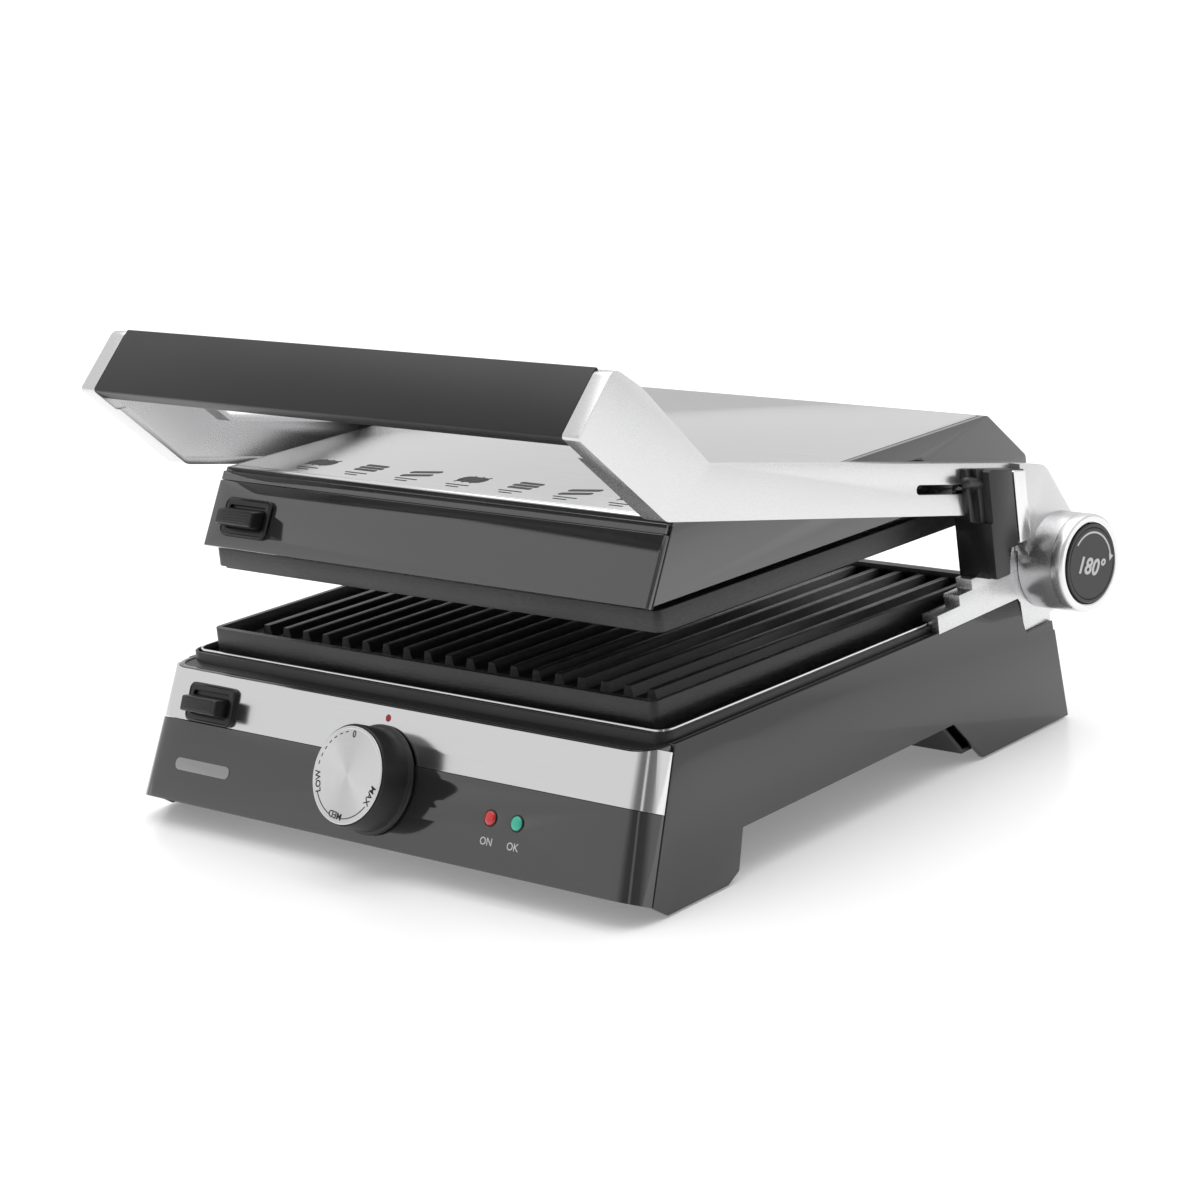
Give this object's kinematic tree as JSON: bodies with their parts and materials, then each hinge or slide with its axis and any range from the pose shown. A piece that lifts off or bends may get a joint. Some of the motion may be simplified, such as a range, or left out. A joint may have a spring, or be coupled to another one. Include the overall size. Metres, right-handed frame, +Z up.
{
  "type": "panini press",
  "caption": "Panini press with ribbed cast plates, a floating upper head on two swing arms with a bar handle, thermostat knob, release buttons and a stepped height lever",
  "frame": {"origin": "centre of the whole object seen from above, on the table plane under the rubber feet", "axes": "+Z up, front of the press (knob side) towards -Y, +X to the user's right"},
  "size_m": [0.3826, 0.3465, 0.2382],
  "materials": {
    "body_paint": "gunmetal metallic lacquer",
    "black_plastic": "fine textured black",
    "steel_trim": "brushed stainless steel",
    "foot_rubber": "matte rubber",
    "reflector_metal": "bright aluminised sheet",
    "element_sheath": "dull heat tinted steel",
    "plate_coating": "non-stick coated aluminium casting",
    "lamp_red": "clear red lens",
    "lamp_green": "clear green lens",
    "zinc_plate": "bright zinc plate",
    "ceramic_white": "off-white insulator",
    "cast_satin": "satin silver lacquer on die casting",
    "cap_metal": "spun bright metal",
    "brass": "machined",
    "handle_paint": "satin dark grey lacquer",
    "grip_plastic": "satin black plastic"
  },
  "bodies": {
    "base": {"base_housing": "body_paint", "rear_step": "body_paint", "deck_lip": "body_paint", "deck_bezel": "black_plastic", "fascia_strip": "steel_trim", "fascia_panel": "body_paint", "bottom_cover": "black_plastic", "rubber_feet": "foot_rubber", "lower_reflector": "reflector_metal", "lower_element": "element_sheath", "lower_plate": "plate_coating", "lower_button_frame": "black_plastic", "power_lamp": "lamp_red", "ready_lamp": "lamp_green", "thermostat": "zinc_plate", "terminal_block": "ceramic_white", "cable_inlet": "black_plastic", "hinge_bracket_left": "cast_satin", "hinge_bracket_right": "cast_satin", "hinge_pins": "zinc_plate", "base_screws": "zinc_plate"},
    "knob": {"knob_body": "black_plastic", "knob_cap": "cap_metal", "knob_shaft": "brass"},
    "lower_button": {"lower_release_button": "black_plastic"},
    "lower_catch": {"lower_latch": "zinc_plate"},
    "tray": {"drip_tray": "black_plastic"},
    "arms": {"arm_left": "cast_satin", "arm_right": "cast_satin", "handle_cover": "handle_paint", "handle_grip": "grip_plastic", "hub_ring_left": "cap_metal", "hub_ring_right": "cap_metal", "hub_cap_left": "grip_plastic"},
    "hinge_release": {"hinge_button": "grip_plastic"},
    "lever": {"height_lever": "grip_plastic", "lever_insert": "cap_metal", "lever_stud": "zinc_plate"},
    "head": {"head_housing": "body_paint", "head_fascia": "body_paint", "head_top_plate": "steel_trim", "upper_reflector": "reflector_metal", "upper_element": "element_sheath", "upper_plate": "plate_coating", "upper_button_frame": "black_plastic", "head_pivots": "zinc_plate", "head_screws": "zinc_plate", "thermal_fuse": "ceramic_white"},
    "upper_button": {"upper_release_button": "black_plastic"},
    "upper_catch": {"upper_latch": "zinc_plate"}
  },
  "joints": [
    {"name": "arm_hinge", "type": "hinge", "parent": "base", "child": "arms", "pos_m": [0, 0.148, 0.0796], "axis": [-1, 0, 0], "range_deg": [0, 165.6]},
    {"name": "head_tilt", "type": "hinge", "parent": "arms", "child": "head", "pos_m": [0, 0.04164, 0.13582], "axis": [-1, 0, 0], "range_deg": [-8, 10]},
    {"name": "height_lever_slide", "type": "slide", "parent": "arms", "child": "lever", "axis": [0, -0.9686, 0.2487], "range_m": [0, 0.036]},
    {"name": "hinge_release_press", "type": "slide", "parent": "arms", "child": "hinge_release", "axis": [-1, 0, 0], "range_m": [0, 0.003], "stiffness_N_per_m": 700, "springref_m": -0.003},
    {"name": "thermostat_turn", "type": "hinge", "parent": "base", "child": "knob", "pos_m": [0, -0.14469, 0.04007], "axis": [0, 0.9026, -0.4305], "range_deg": [0, 270]},
    {"name": "lower_button_press", "type": "slide", "parent": "base", "child": "lower_button", "axis": [0, 0.9026, -0.4305], "range_m": [0, 0.004], "stiffness_N_per_m": 700, "springref_m": -0.003},
    {"name": "lower_catch_slide", "type": "slide", "parent": "base", "child": "lower_catch", "axis": [-1, 0, 0], "range_m": [0, 0.003]},
    {"name": "upper_button_press", "type": "slide", "parent": "head", "child": "upper_button", "axis": [0, 0.8652, -0.5015], "range_m": [0, 0.004], "stiffness_N_per_m": 700, "springref_m": -0.003},
    {"name": "upper_catch_slide", "type": "slide", "parent": "head", "child": "upper_catch", "axis": [-1, 0, 0], "range_m": [0, 0.003]},
    {"name": "tray_slide", "type": "slide", "parent": "base", "child": "tray", "axis": [-1, 0, 0], "range_m": [0, 0.12]}
  ],
  "couplings": [
    {"joint": "lower_catch_slide", "follows": "lower_button_press", "ratio": 0.75},
    {"joint": "upper_catch_slide", "follows": "upper_button_press", "ratio": 0.75}
  ]
}
